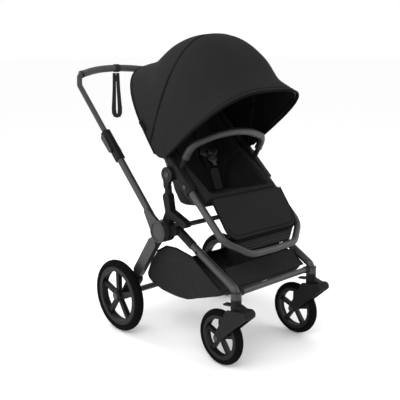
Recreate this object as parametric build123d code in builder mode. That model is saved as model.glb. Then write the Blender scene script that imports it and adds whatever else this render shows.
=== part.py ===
from build123d import *
import os
from math import atan2, copysign, cos, degrees, hypot, pi, radians, sin

# Folding baby stroller: a wheeled frame that carries a reclining seat with a canopy.
# Row frame in millimetres: X across, the front of the stroller faces -Y, Z up, ground at Z = 0.
# The left side is +X, seen by the person who pushes.

os.makedirs("parts", exist_ok=True)
SIDES = (("left", 1), ("right", -1))

frame_shift = -6.0             # puts the origin under the middle of the whole stroller

# Clearances
gap = 0.3                      # between bodies that pass each other
fit = 0.05                     # radial running clearance of a pin in its bore

# Wheels
rear_wheel_r = 145.0
rear_tyre_w = 38.0
rear_wheel_x = 294.0
rear_axle = (120.0, rear_wheel_r)
front_wheel_r = 103.0
front_tyre_w = 34.0
stem_x = 207.5
stem_y = -447.5
caster_trail = 71.5
front_axle = (stem_y + caster_trail, front_wheel_r)
axle_r = 6.0
spoke_count = 5
rear_hub_half = 19.0
release_r = 13.0               # push button in the rear wheel's hub
release_recess = 6.0

# Main hub, where handle, rear legs and front legs meet
hub = (-94.0, 446.0)
hub_r = 42.0
hub_pin_r = 9.0
hub_inner_x = 214.0            # inner face of the fixed disc
leg_eye_x = 243.0              # inner face of the rear leg's eye
handle_eye_x = 255.0           # inner face of the handle's eye
hub_outer_x = 268.0

# Frame tubes
leg_tube_r = 14.5
leg_x = 212.0
leg_seam = (-232.0, 411.0)
leg_bend = (stem_y, 297.0)
stem_bottom = 262.0
bar_r = 11.0
front_bar = (-442.0, 283.0)
hub_bar = (-205.0, 488.0)
seat_post_x = 223.0
seat_post_r = 13.8

# Handle
push_x = 254.0
push_angle = 45.5              # above horizontal, leaning back
push_r = 14.0
slider_r = 11.0                # telescoping upper tube
push_tube_top = 470.0          # distance from the hub
block_start = 340.0
block_end = 480.0
grip_r = 15.0
tube_wall = 1.8

# Seat frame: a flat loop, tilted about X
loop_angle = 42.7
loop_origin = (-327.0, 502.0)
loop_half = 203.0
loop_r = 13.0
loop_foot = -148.0
loop_head = 670.0
loop_head_bend = 180.0
loop_foot_bend = 70.0
housing_start = 152.0
housing_end = 345.0
pivot = (-112.0, 660.0)        # recline axis
pivot_r = 29.0
pivot_pin_r = 10.0
housing_x = 220.5

# Canopy
canopy_axis = (-90.0, 720.0)
canopy_pin_r = 4.0
cloth = 2.0
visor_angle = 143.7
bow_angle = 100.0


def save(builder, name):
    builder.part = Location((0, frame_shift, 0)) * builder.part
    builder.part.label = name
    export_step(builder.part, f"parts/{name}.step")


def along(start, angle, distance):
    """The side-view point at a distance from start, at an angle above +Y."""
    return (start[0] + distance * cos(radians(angle)), start[1] + distance * sin(radians(angle)))


def angle_between(start, end):
    return degrees(atan2(end[1] - start[1], end[0] - start[0]))


def link(p1, r1, p2, r2):
    """Adds the hull of two circles to the open sketch."""
    with Locations(p1):
        first = Circle(r1, mode=Mode.PRIVATE)
    with Locations(p2):
        second = Circle(r2, mode=Mode.PRIVATE)
    make_hull(first.edges() + second.edges())


def slab(side, inner, outer):
    """Side-view sketch plane at the inner face, and the extrusion that reaches the outer face."""
    return Plane.YZ.offset(side * inner), side * (outer - inner)


def tube_along(points, bends, radius, bore=0.0):
    """Round tube through the points, with arcs at the inner ones."""
    with BuildPart() as tube:
        with BuildLine() as path:
            if bends:
                FilletPolyline(*points, radius=bends)
            else:
                Polyline(*points)
        with BuildSketch(Plane(origin=path.line @ 0, z_dir=path.line % 0)):
            Circle(radius)
            if bore:
                Circle(bore, mode=Mode.SUBTRACT)
        sweep(path=path.line)
    return tube.part


def frame_point(u, n=0.0, x=0.0):
    """A point of the seat loop's plane: u along the rails, n up from the plane."""
    c = cos(radians(loop_angle))
    s = sin(radians(loop_angle))
    return (x, loop_origin[0] + u * c - n * s, loop_origin[1] + u * s + n * c)


loop_plane = Plane(origin=(0, *loop_origin), x_dir=(1, 0, 0),
                   z_dir=(0, -sin(radians(loop_angle)), cos(radians(loop_angle))))


def make_wheel(name, side, centre, x_mid, outer_r, width, rim_r, rim_inner, hub_half, hub_radius,
               spoke_hub_w, spoke_rim_w, recess=0.0):
    """A foam tyre and a five-spoke wheel that turn about an axle along X."""
    half = width / 2
    seat_half = half - 4.0
    with BuildPart() as tyre:
        with BuildSketch(Plane.XY) as section:
            with BuildLine():
                Polyline((-seat_half, rim_r), (seat_half, rim_r), (half, rim_r + 6))
                Line((half, rim_r + 6), (half, outer_r - 13))
                ThreePointArc((half, outer_r - 13), (0, outer_r), (-half, outer_r - 13))
                Polyline((-half, outer_r - 13), (-half, rim_r + 6), (-seat_half, rim_r))
            make_face()
        revolve(axis=Axis.X)
    wheel_place = Location((side * x_mid, centre[0], centre[1]))
    tyre.part = wheel_place * tyre.part
    save(tyre, f"{name}_tyre")

    with BuildPart() as rim:
        with BuildSketch(Plane.XY):
            with BuildLine():
                Polyline((-seat_half, rim_r), (seat_half, rim_r), (seat_half, rim_inner + 2),
                         (4, rim_inner + 5), (-4, rim_inner + 5), (-seat_half, rim_inner + 2),
                         close=True)
            make_face()
        revolve(axis=Axis.X)
        with BuildSketch(Plane.XY):
            with BuildLine():
                bore = axle_r + fit
                face = [(hub_half, bore)]
                if recess:
                    face = [(hub_half - recess, bore), (hub_half - recess, release_r + 0.6),
                            (hub_half, release_r + 0.6)]
                points = [(-hub_half, bore), *face, (hub_half, hub_radius - 3), (hub_half - 3, hub_radius),
                          (-hub_half + 3, hub_radius), (-hub_half, hub_radius - 3)]
                Polyline(*[(side * x, r) for x, r in points], close=True)
            make_face()
        revolve(axis=Axis.X)
        for turn in range(spoke_count):
            angle = 90 + turn * 360 / spoke_count
            with BuildSketch(Plane.YZ.offset(-7)):
                with BuildLine():
                    points = [(hub_radius - 3, -spoke_hub_w / 2), (rim_inner + 6, -spoke_rim_w / 2),
                              (rim_inner + 6, spoke_rim_w / 2), (hub_radius - 3, spoke_hub_w / 2)]
                    turned = [Vector(*p, 0).rotate(Axis.Z, angle) for p in points]
                    Polyline(*turned, close=True)
                make_face()
            extrude(amount=14)
    rim.part = wheel_place * rim.part
    save(rim, f"{name}_rim")


# Root body: front legs, hubs, seat posts, cross bars and basket
for side_name, s in SIDES:
    with BuildPart() as hub_casting:
        plane, reach = slab(s, hub_inner_x, leg_eye_x - gap)
        with BuildSketch(plane):
            with Locations(hub):
                Circle(hub_r)
                Circle(hub_pin_r, mode=Mode.SUBTRACT)
        extrude(amount=reach)
        plane, reach = slab(s, hub_inner_x - 14, hub_inner_x + 24)
        with BuildSketch(plane):
            link(hub, 30, (-152, 453), 17)
            with Locations(hub):
                Circle(hub_pin_r, mode=Mode.SUBTRACT)
        extrude(amount=reach)
        add(tube_along([(s * leg_x, -146, 457), (s * leg_x, *leg_seam)], None, 16.5))
        with Locations(Plane.YZ.offset(s * (hub_inner_x - 20))):
            with Locations(hub):
                Cylinder(hub_pin_r, 60 * 2, mode=Mode.SUBTRACT)
    save(hub_casting, f"hub_casting_{side_name}")

    with BuildPart() as front_leg:
        add(tube_along([(s * leg_x, *leg_seam), (s * stem_x, *leg_bend), (s * stem_x, stem_y, stem_bottom)],
                       30, leg_tube_r))
        with BuildSketch(Plane.XY.offset(stem_bottom)):
            with Locations((s * stem_x, stem_y)):
                Circle(19)
        extrude(amount=30)
        fillet(front_leg.edges().filter_by(GeomType.CIRCLE).group_by(Axis.Z)[0], 2)
    save(front_leg, f"front_leg_{side_name}")

with BuildPart() as hub_pins:
    for side_name, s in SIDES:
        plane, reach = slab(s, hub_inner_x - 16, hub_outer_x - 6)
        with BuildSketch(plane):
            with Locations(hub):
                Circle(hub_pin_r)
        extrude(amount=reach)
save(hub_pins, "hub_pins")

with BuildPart() as hub_crossbar:
    add(tube_along([(-seat_post_x + 8, *hub_bar), (seat_post_x - 8, *hub_bar)], None, 9))
save(hub_crossbar, "hub_crossbar")

with BuildPart() as front_crossbar:
    bar_end = stem_x - 14
    add(tube_along([(-bar_end, *front_bar), (bar_end, *front_bar)], None, bar_r))
save(front_crossbar, "front_crossbar")

socket = (-108.0, 575.0)
socket_top = 602.0
knee = (-120.0, 518.0)
plug_r = 9.0
with BuildPart() as seat_posts:
    for side_name, s in SIDES:
        plane, reach = slab(s, seat_post_x - seat_post_r, seat_post_x + seat_post_r)
        for p1, r1, p2, r2 in ((socket, 17, knee, 15), (knee, 15, (-101, 468), 20), (knee, 15, hub_bar, 13)):
            with BuildSketch(plane):
                link(p1, r1, p2, r2)
            extrude(amount=reach)
        with BuildSketch(Plane.XY.offset(socket[1] - 14)):
            with Locations((s * seat_post_x, socket[0])):
                Circle(seat_post_r)
        extrude(amount=socket_top - socket[1] + 14)
        with BuildSketch(Plane.XY.offset(socket_top)):
            with Locations((s * seat_post_x, socket[0])):
                Circle(plug_r + fit)
        extrude(amount=-32, mode=Mode.SUBTRACT)
        plane, reach = slab(s, hub_inner_x - 14, leg_eye_x)
        with BuildSketch(plane):
            with Locations(hub):
                Circle(hub_r)
        extrude(amount=reach, mode=Mode.SUBTRACT)
save(seat_posts, "seat_posts")

basket_half = 226.0
basket_wall = 4.0
basket_outline = [(-404, 284), (-373, 254), (-273, 216), (-200, 191), (-142, 184), (-80, 186),
                  (-14, 196), (28, 214), (44, 238), (12, 300), (-38, 361), (-94, 396), (-150, 400),
                  (-236, 386)]
pocket_outline = [(-392, 284), (-369, 259), (-271, 221), (-199, 195), (-142, 188), (-80, 190),
                  (-16, 200), (24, 217), (39, 238), (8, 298), (-42, 358), (-60, 430), (-300, 430)]
with BuildPart() as basket:
    with BuildSketch(Plane.YZ):
        with BuildLine():
            Polyline(*basket_outline, close=True)
        make_face()
    extrude(amount=basket_half, both=True)
    with BuildSketch(Plane.YZ):
        with BuildLine():
            Polyline(*pocket_outline, close=True)
        make_face()
    extrude(amount=basket_half - basket_wall, both=True, mode=Mode.SUBTRACT)
    with BuildSketch(Plane.YZ):
        with BuildLine():
            Polyline((-404, 284), (-430, 297), (-366, 351), (-363, 347), (-424, 296), (-398, 284), close=True)
        make_face()
    extrude(amount=190, both=True)
    with BuildSketch(Plane.XY.offset(300)):
        with Locations((0, -15)):
            Rectangle(2 * 205, 130)
    extrude(amount=120, mode=Mode.SUBTRACT)
save(basket, "basket")

# Rear legs, axle beam and wheel mounts
leg_angle = angle_between(hub, rear_axle)
leg_length = hypot(rear_axle[0] - hub[0], rear_axle[1] - hub[1])
mount_start = 250.0
for side_name, s in SIDES:
    with BuildPart() as rear_leg:
        plane, reach = slab(s, leg_eye_x, handle_eye_x - gap)
        with BuildSketch(plane):
            with Locations(hub):
                Circle(hub_r - 1)
        extrude(amount=reach)
        plane, reach = slab(s, leg_eye_x, leg_eye_x + 23)
        end = along(hub, leg_angle, mount_start - 22)
        with BuildSketch(plane):
            link(along(hub, leg_angle, 66), 23, end, 22)
        extrude(amount=reach)
        plane, reach = slab(s, leg_eye_x, handle_eye_x - gap)
        with BuildSketch(plane):
            link(along(hub, leg_angle, 14), 27, along(hub, leg_angle, 66), 23)
        extrude(amount=reach)
        with BuildSketch(Plane.YZ.offset(s * (leg_eye_x - 5))):
            with Locations(hub):
                Circle(hub_pin_r + fit)
        extrude(amount=s * 40, mode=Mode.SUBTRACT)
        with BuildSketch(Plane.YZ.offset(s * (handle_eye_x - gap))):
            with Locations(hub):
                Circle(hub_r + gap)
        extrude(amount=s * 20, mode=Mode.SUBTRACT)
    save(rear_leg, f"rear_leg_{side_name}")

with BuildPart() as wheel_mounts:
    for side_name, s in SIDES:
        plane, reach = slab(s, leg_eye_x - 5, leg_eye_x + 26)
        with BuildSketch(plane):
            link(along(hub, leg_angle, mount_start + 20), 26, rear_axle, 22)
        extrude(amount=reach)
        plane, reach = slab(s, leg_eye_x - 6, leg_eye_x + 27)
        with BuildSketch(plane):
            link(along(hub, leg_angle, 66), 23, along(hub, leg_angle, mount_start - 22), 22)
        extrude(amount=reach, mode=Mode.SUBTRACT)
        plane, reach = slab(s, leg_eye_x + 20, rear_wheel_x + 13)
        with BuildSketch(plane):
            with Locations(rear_axle):
                Circle(axle_r)
        extrude(amount=reach)
save(wheel_mounts, "wheel_mounts")

beam_r = 12.0
with BuildPart() as rear_axle_beam:
    beam_end = leg_eye_x - 5
    add(tube_along([(-beam_end, *rear_axle), (beam_end, *rear_axle)], None, beam_r))
save(rear_axle_beam, "rear_axle_beam")

with BuildPart() as brake_pedal:
    pedal_half = 46.0
    with BuildSketch(Plane.YZ):
        link(rear_axle, beam_r + 6, (rear_axle[0] + 62, rear_axle[1] + 6), 7)
    extrude(amount=pedal_half, both=True)
    with BuildSketch(Plane.YZ):
        with Locations(rear_axle):
            Circle(beam_r + fit)
    extrude(amount=pedal_half + 2, both=True, mode=Mode.SUBTRACT)
    with BuildSketch(Plane.YZ):
        link((rear_axle[0] + 40, rear_axle[1] + 5), 7, (rear_axle[0] + 66, rear_axle[1] + 9), 9)
    extrude(amount=pedal_half + 8, both=True)
save(brake_pedal, "brake_pedal")

for side_name, s in SIDES:
    make_wheel(f"rear_{side_name}", s, rear_axle, rear_wheel_x, rear_wheel_r, rear_tyre_w, 119, 99,
               rear_hub_half, 22, 17, 21, release_recess)
    make_wheel(f"front_{side_name}", s, front_axle, stem_x, front_wheel_r, front_tyre_w, 82, 67,
               15, 16, 12, 15)
    with BuildPart() as release:
        with BuildSketch(Plane.YZ.offset(s * (rear_wheel_x + rear_hub_half - 3.5))):
            with Locations(rear_axle):
                Circle(release_r)
        extrude(amount=s * 6)
    save(release, f"wheel_release_{side_name}")

# Casters: swivel body, sprung fork and swivel lock
barrel = (stem_y - 51.5, 221.0)
barrel_r = 17.0
for side_name, s in SIDES:
    with BuildPart() as caster_body:
        with BuildSketch(Plane.XY.offset(220)):
            with Locations((s * stem_x, stem_y)):
                Circle(19)
        extrude(amount=stem_bottom - gap - 220)
        with BuildSketch(Plane.YZ.offset(s * stem_x)):
            link((stem_y, 237), 15, barrel, barrel_r)
        extrude(amount=13, both=True)
        with BuildSketch(Plane.YZ.offset(s * stem_x)):
            with Locations(barrel):
                Circle(barrel_r)
        extrude(amount=19, both=True)
        with BuildSketch(Plane.YZ.offset(s * stem_x)):
            with Locations(barrel):
                Circle(axle_r)
        extrude(amount=27, both=True)
    save(caster_body, f"caster_body_{side_name}")

    with BuildPart() as fork:
        for cheek in (-1, 1):
            plane = Plane.YZ.offset(s * stem_x + cheek * 19.5)
            with BuildSketch(plane):
                make_hull(Sketch([Location((*barrel, 0)) * Circle(barrel_r - 1, mode=Mode.PRIVATE),
                                  Location((stem_y + 17, 215, 0)) * Circle(10, mode=Mode.PRIVATE),
                                  Location((*front_axle, 0)) * Circle(14, mode=Mode.PRIVATE)]).edges())
                with Locations(barrel):
                    Circle(axle_r + fit, mode=Mode.SUBTRACT)
            extrude(amount=cheek * 7.5)
        with BuildSketch(Plane.YZ.offset(s * stem_x)):
            link((stem_y + 13, 201), 4, (stem_y + 22, 203), 4)
        extrude(amount=20, both=True)
        with BuildSketch(Plane.YZ.offset(s * stem_x)):
            with Locations(front_axle):
                Circle(axle_r)
        extrude(amount=20, both=True)
    save(fork, f"caster_fork_{side_name}")

    with BuildPart() as swivel_lock:
        with BuildSketch(Plane.YZ.offset(s * stem_x)):
            link((stem_y + 26, 238), 4.5, (stem_y + 52, 234), 3.5)
        extrude(amount=9, both=True)
    save(swivel_lock, f"swivel_lock_{side_name}")

# Handle, lower part: eyes on the hub and the outer tubes
push_dir = (0, cos(radians(push_angle)), sin(radians(push_angle)))


def push_point(side, distance):
    return (side * push_x, *along(hub, push_angle, distance))


for side_name, s in SIDES:
    with BuildPart() as push_tube:
        plane, reach = slab(s, handle_eye_x, hub_outer_x)
        with BuildSketch(plane):
            with Locations(hub):
                Circle(hub_r)
            link(along(hub, push_angle, 16), 32, along(hub, push_angle, 92), 14)
        extrude(amount=reach)
        with BuildSketch(Plane.YZ.offset(s * hub_outer_x)):
            with Locations(hub):
                Circle(34)
        extrude(amount=-s * 5, mode=Mode.SUBTRACT)
        add(tube_along([push_point(s, 58), push_point(s, push_tube_top)], None, push_r))
        with BuildSketch(Plane(origin=push_point(s, push_tube_top), z_dir=push_dir)):
            Circle(slider_r + fit)
        extrude(amount=-(push_tube_top - 150), mode=Mode.SUBTRACT)
        with BuildSketch(Plane.YZ.offset(s * (handle_eye_x - 1))):
            with Locations(hub):
                Circle(hub_pin_r + fit)
        extrude(amount=s * 20, mode=Mode.SUBTRACT)
        with BuildSketch(Plane.YZ.offset(s * (handle_eye_x - 0.01))):
            with Locations(hub):
                Circle(hub_r + 1)
        extrude(amount=-s * 30, mode=Mode.SUBTRACT)
    save(push_tube, f"push_tube_{side_name}")

    with BuildPart() as height_block:
        with BuildSketch(Plane(origin=push_point(s, block_start), z_dir=push_dir)) as block_section:
            RectangleRounded(37, 35, 12)
        extrude(amount=block_end - block_start)
        chamfer(height_block.edges().group_by(Axis.Z)[-1], 2)
        with BuildSketch(Plane(origin=push_point(s, block_start), z_dir=push_dir)):
            Circle(push_r)
        extrude(amount=push_tube_top - block_start, mode=Mode.SUBTRACT)
        with BuildSketch(Plane(origin=push_point(s, block_start), z_dir=push_dir)):
            Circle(slider_r + fit)
        extrude(amount=block_end - block_start, mode=Mode.SUBTRACT)
        inner_face = push_point(s, 395)
        with BuildSketch(Plane(origin=(s * (push_x - 19.5), *inner_face[1:]), x_dir=push_dir,
                               z_dir=(s, 0, 0))):
            RectangleRounded(54, 16, 5)
        extrude(amount=4.5, mode=Mode.SUBTRACT)
    save(height_block, f"height_block_{side_name}")

    with BuildPart() as fold_slider:
        with BuildSketch(Plane(origin=(s * (push_x - 21.5), *inner_face[1:]), x_dir=push_dir,
                               z_dir=(s, 0, 0))):
            with Locations((-8, 0)):
                RectangleRounded(30, 15, 4)
        extrude(amount=5.5)
    save(fold_slider, f"fold_slider_{side_name}")

    with BuildPart() as height_lever:
        outer_face = push_point(s, 418)
        with BuildSketch(Plane(origin=(s * (push_x + 18.5 + gap), *outer_face[1:]), x_dir=push_dir,
                               z_dir=(s, 0, 0))):
            link((34, 0), 12, (-30, 0), 9)
        extrude(amount=8)
    save(height_lever, f"height_lever_{side_name}")

with BuildPart() as hub_covers:
    for side_name, s in SIDES:
        with BuildSketch(Plane.YZ.offset(s * (hub_outer_x - 5))):
            with Locations(hub):
                Circle(33.8)
        extrude(amount=s * 3.5)
        fillet(hub_covers.edges().filter_by(GeomType.CIRCLE).sort_by(Axis.X)[-1 if s > 0 else 0], 1)
save(hub_covers, "hub_covers")

# Handle, upper part: telescoping bow, grip and wrist strap
bow_start = push_tube_top - 160
bow_points = [push_point(1, bow_start), (push_x, *along(hub, push_angle, 728)), (240, 436, 1006),
              (120, 493, 1024.5), (0, 514, 1030.5)]
bow_right = [(-p[0], p[1], p[2]) for p in reversed(bow_points[:-1])]
with BuildPart() as handle_bow:
    add(tube_along(bow_points + bow_right, [26, 24, 380, 300, 380, 24, 26], slider_r, slider_r - tube_wall))
save(handle_bow, "handle_bow")

with BuildPart() as grip:
    grip_path = [(228, 441.7, 1007.85), (120, 493, 1024.5), (0, 514, 1030.5), (-120, 493, 1024.5),
                 (-228, 441.7, 1007.85)]
    add(tube_along(grip_path, [380, 300, 380], grip_r, slider_r))
save(grip, "grip")

with BuildPart() as wrist_strap:
    with BuildSketch(Plane.XZ.offset(-(512 - 7))):
        with BuildLine():
            Polyline((-13, 1000), (13, 1000), (13, 930), (22, 860), (22, 806), (-22, 806), (-22, 860),
                     (-13, 930), close=True)
        make_face()
        with BuildLine():
            Polyline((-11.5, 985), (11.5, 985), (8, 930), (15, 860), (14, 822), (-14, 822), (-15, 860),
                     (-8, 930), close=True)
        make_face(mode=Mode.SUBTRACT)
    extrude(amount=-14)
    with BuildSketch(Plane.YZ):
        with Locations((510, 1029)):
            Circle(grip_r + 3)
            Circle(grip_r, mode=Mode.SUBTRACT)
    extrude(amount=13, both=True)
save(wrist_strap, "wrist_strap")

# Seat carrier: discs that hold the seat and plug into the posts
with BuildPart() as seat_pivots:
    for side_name, s in SIDES:
        plane, reach = slab(s, housing_x + 0.5, 236)
        with BuildSketch(plane):
            with Locations(pivot):
                Circle(pivot_r)
            link(pivot, 20, (socket[0], 618), 13)
        extrude(amount=reach)
        with BuildSketch(Plane.XY.offset(socket_top + 0.2)):
            with Locations((s * seat_post_x, socket[0])):
                Circle(13)
        extrude(amount=14)
        with BuildSketch(Plane.XY.offset(socket_top + 1)):
            with Locations((s * seat_post_x, socket[0])):
                Circle(plug_r)
        extrude(amount=-28)
        plane, reach = slab(s, 196, housing_x + 2)
        with BuildSketch(plane):
            with Locations(pivot):
                Circle(pivot_pin_r)
        extrude(amount=reach)
save(seat_pivots, "seat_pivots")

# Seat: loop, housings, bucket, leg rest, foot plate, harness
with BuildPart() as seat_loop:
    with BuildLine(loop_plane) as loop_path:
        corners = [(-loop_half, loop_head), (-loop_half, loop_foot + 76), (-118, loop_foot + 4),
                   (0, loop_foot), (118, loop_foot + 4), (loop_half, loop_foot + 76),
                   (loop_half, loop_head)]
        bends = [loop_head_bend] + [loop_foot_bend] * (len(corners) - 2) + [loop_head_bend]
        FilletPolyline(*corners, radius=bends, close=True)
    with BuildSketch(Plane(origin=loop_path.line @ 0, z_dir=loop_path.line % 0)):
        Circle(loop_r)
        Circle(loop_r - tube_wall, mode=Mode.SUBTRACT)
    sweep(path=loop_path.line)
save(seat_loop, "seat_loop")

bumper_foot = (-171.0, 723.0)
rail_dir = (0, cos(radians(loop_angle)), sin(radians(loop_angle)))
button_point = frame_point(housing_start + 28)[1:]
with BuildPart() as frame_housings:
    for side_name, s in SIDES:
        with BuildSketch(Plane(origin=frame_point(housing_start, 0, s * loop_half), x_dir=(1, 0, 0),
                               z_dir=rail_dir)):
            RectangleRounded(2 * (housing_x - loop_half), 36, 12)
        extrude(amount=housing_end - housing_start)
        plane, reach = slab(s, 194, housing_x)
        with BuildSketch(plane):
            link(pivot, 25, frame_point(housing_start + 130)[1:], 16)
        extrude(amount=reach)
        with BuildSketch(plane):
            with Locations(pivot):
                Circle(pivot_pin_r + fit)
        extrude(amount=reach, mode=Mode.SUBTRACT)
        plane, reach = slab(s, housing_x - 1, housing_x + 5)
        with BuildSketch(plane):
            with Locations(canopy_axis):
                Circle(canopy_pin_r)
        extrude(amount=reach)
        with BuildSketch(Plane.YZ.offset(s * housing_x)):
            with Locations(button_point):
                Circle(9.5)
        extrude(amount=-s * 3, mode=Mode.SUBTRACT)
        with BuildSketch(Plane(origin=(s * 196, bumper_foot[0] + 2 * 0.49, bumper_foot[1] - 2 * 0.872),
                               z_dir=(0, 0.49, -0.872))):
            Circle(10)
        extrude(amount=46)
        with BuildSketch(Plane(origin=frame_point(housing_start - 1, 0, s * loop_half), z_dir=rail_dir)):
            Circle(loop_r + fit)
        extrude(amount=housing_end - housing_start + 2, mode=Mode.SUBTRACT)
save(frame_housings, "frame_housings")

for side_name, s in SIDES:
    with BuildPart() as frame_button:
        with BuildSketch(Plane.YZ.offset(s * (housing_x - 0.2))):
            with Locations(button_point):
                Circle(9.2)
        extrude(amount=s * 3)
        fillet(frame_button.edges().filter_by(GeomType.CIRCLE).sort_by(Axis.X)[-1 if s > 0 else 0], 1)
    save(frame_button, f"frame_button_{side_name}")

# The bucket is a sling: as wide as the rails at the loop's plane and narrower below it
seat_half = 184.0
seat_wall = 16.0
seat_head = 650.0
bucket_outer = [(-287, 592), (-264, 556), (-200, 534), (-80, 518), (-40, 518), (-22, 540), (150, 925),
                (168, 966), (152, 954), (-96, 722)]
bucket_inner = [(-276, 602), (-170, 574), (-70, 550), (-56, 556), (128, 960), (100, 1040), (-300, 680)]
bucket_widths = [(70, 0), (-5, 0), (-50, 18), (-110, 60), (-190, 76)]


def sling(outline, half, inset):
    """The side-view outline across the seat, cut to the sling's width at each depth."""
    widths = [(half - inset - cut, n) for n, cut in bucket_widths]
    with BuildPart() as body:
        with BuildSketch(Plane.YZ):
            with BuildLine():
                Polyline(*outline, close=True)
            make_face()
        extrude(amount=half, both=True)
        with BuildSketch(Plane(origin=(0, *loop_origin), x_dir=(1, 0, 0), z_dir=rail_dir)):
            with BuildLine():
                Polyline(*[(x, -n) for x, n in widths], *[(-x, -n) for x, n in reversed(widths)], close=True)
            make_face()
        extrude(amount=900, both=True, mode=Mode.INTERSECT)
        with BuildSketch(loop_plane):
            with BuildLine():
                side = FilletPolyline((-half, -250), (-half, seat_head - inset), (half, seat_head - inset),
                                      (half, -250), radius=loop_head_bend - loop_r)
                Line(side @ 0, side @ 1)
            make_face()
        extrude(amount=400, both=True, mode=Mode.INTERSECT)
    return body.part


with BuildPart() as seat_bucket:
    add(sling(bucket_outer, seat_half, 0))
    add(sling(bucket_inner, seat_half - seat_wall, seat_wall), mode=Mode.SUBTRACT)
save(seat_bucket, "seat_bucket")

with BuildPart() as leg_rest:
    with BuildSketch(Plane(origin=(0, -289, 586), x_dir=(1, 0, 0), z_dir=(0, -0.8004, 0.5995))):
        with BuildLine():
            Polyline((-184, 0), (-184, -105), (-124, -165), (124, -165), (184, -105), (184, 0), close=True)
        make_face()
    extrude(amount=13)
save(leg_rest, "leg_rest")

with BuildPart() as foot_plate:
    with BuildSketch(loop_plane.offset(-12)):
        with BuildLine():
            Polyline((-196, -58), (-196, -66), (-160, -84), (-108, -124), (108, -124), (160, -84),
                     (196, -66), (196, -58), close=True)
        make_face()
    extrude(amount=12)
save(foot_plate, "foot_plate")

# Harness: buckle on its crotch strap, shoulder straps on the back, lap straps on the seat
buckle_plane = Plane(origin=(0, -99, 694), x_dir=(1, 0, 0), z_dir=(0, -0.83, 0.56))
with BuildPart() as harness_buckle:
    with BuildSketch(buckle_plane):
        Circle(23)
        Rectangle(16, 70)
    extrude(amount=11)
    with BuildSketch(buckle_plane.offset(11)):
        Circle(12.5)
    extrude(amount=-6, mode=Mode.SUBTRACT)
save(harness_buckle, "harness_buckle")

with BuildPart() as buckle_button:
    with BuildSketch(buckle_plane.offset(8)):
        Circle(12)
    extrude(amount=5)
save(buckle_button, "buckle_button")

back_plane = Plane(origin=(0, 21.5, 731), x_dir=(1, 0, 0), z_dir=(0, -0.91, 0.414))
crotch_plane = Plane(origin=(0, -127, 616), x_dir=(1, 0, 0), z_dir=(0, -0.93, 0.37))
lap_plane = Plane(origin=(0, -110, 561.5), x_dir=(1, 0, 0), z_dir=(0, 0.233, 0.972))
with BuildPart() as harness_straps:
    with BuildSketch(crotch_plane):
        RectangleRounded(44, 88, 6)
    extrude(amount=8)
    for s in (1, -1):
        with BuildSketch(back_plane):
            with Locations((s * 58, 10)):
                RectangleRounded(44, 190, 8)
        extrude(amount=11)
        with BuildSketch(lap_plane):
            with Locations((s * 66, 0)):
                RectangleRounded(46, 28, 5)
        extrude(amount=4)
save(harness_straps, "harness_straps")

with BuildPart() as recline_handle:
    with BuildSketch(loop_plane.offset(-loop_r - 9)):
        with Locations((0, loop_head - 4)):
            RectangleRounded(120, 26, 8)
    extrude(amount=-12)
save(recline_handle, "recline_handle")

# Bumper bar, plugged onto the frame housings
with BuildPart() as bumper_bar:
    bumper_points = [(194, *bumper_foot), (190, -200, 773), (95, -222, 803), (0, -228, 812)]
    bumper_mirror = [(-p[0], p[1], p[2]) for p in reversed(bumper_points[:-1])]
    add(tube_along(bumper_points + bumper_mirror, [48, 260, 350, 260, 48], 14.5))
save(bumper_bar, "bumper_bar")

# Canopy: three cloth panels over two bows, all about one axis


def canopy_edge(angle, half, reach, power, base, low=14.0):
    """Arch in a plane through the canopy axis: superellipse of half width and reach."""
    count = 16
    points = []
    for i in range(count + 1):
        t = pi * i / count
        x = half * copysign(abs(cos(t)) ** (2 / power), cos(t))
        r = low + (reach - low) * abs(sin(t)) ** (2 / power)
        points.append((x, r))
    return [(x, base[0] + r * cos(radians(angle)), base[1] + r * sin(radians(angle))) for x, r in points]


def arch_face(angle, half, reach, power, base):
    outer = canopy_edge(angle, half, reach, power, base)
    inner = canopy_edge(angle, half - cloth, reach - cloth, power, base)
    with BuildSketch(Plane(origin=(0, *base), x_dir=(1, 0, 0), z_dir=(0, -sin(radians(angle)), cos(radians(angle))))
                     ) as sketch:
        with BuildLine():
            top = Spline(*[sketch.workplanes[0].to_local_coords(Vector(*p)) for p in outer])
            low_edge = Spline(*[sketch.workplanes[0].to_local_coords(Vector(*p)) for p in inner])
            Line(top @ 0, low_edge @ 0)
            Line(top @ 1, low_edge @ 1)
        make_face()
    return sketch.sketch


stations = {
    "canopy_rear": [(47, 227.5, 448, 2.7, (-78, 716)), (62, 227, 424, 2.65, (-84, 718)),
                    (78, 227, 436, 2.6, canopy_axis)],
    "canopy_middle": [(78.2, 227, 436, 2.6, canopy_axis), (90, 227, 443, 2.65, canopy_axis),
                      (102, 227.5, 446, 2.7, canopy_axis)],
    "canopy_front": [(102.2, 227.5, 446, 2.7, canopy_axis), (115, 227.5, 432, 2.9, canopy_axis),
                     (130, 227.5, 406, 3.1, canopy_axis), (visor_angle, 227.5, 420, 3.3, canopy_axis)],
}
for name, rows in stations.items():
    with BuildPart() as panel:
        for first, second in zip(rows, rows[1:]):
            add(loft([arch_face(*first), arch_face(*second)], ruled=True))
    save(panel, name)


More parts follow.
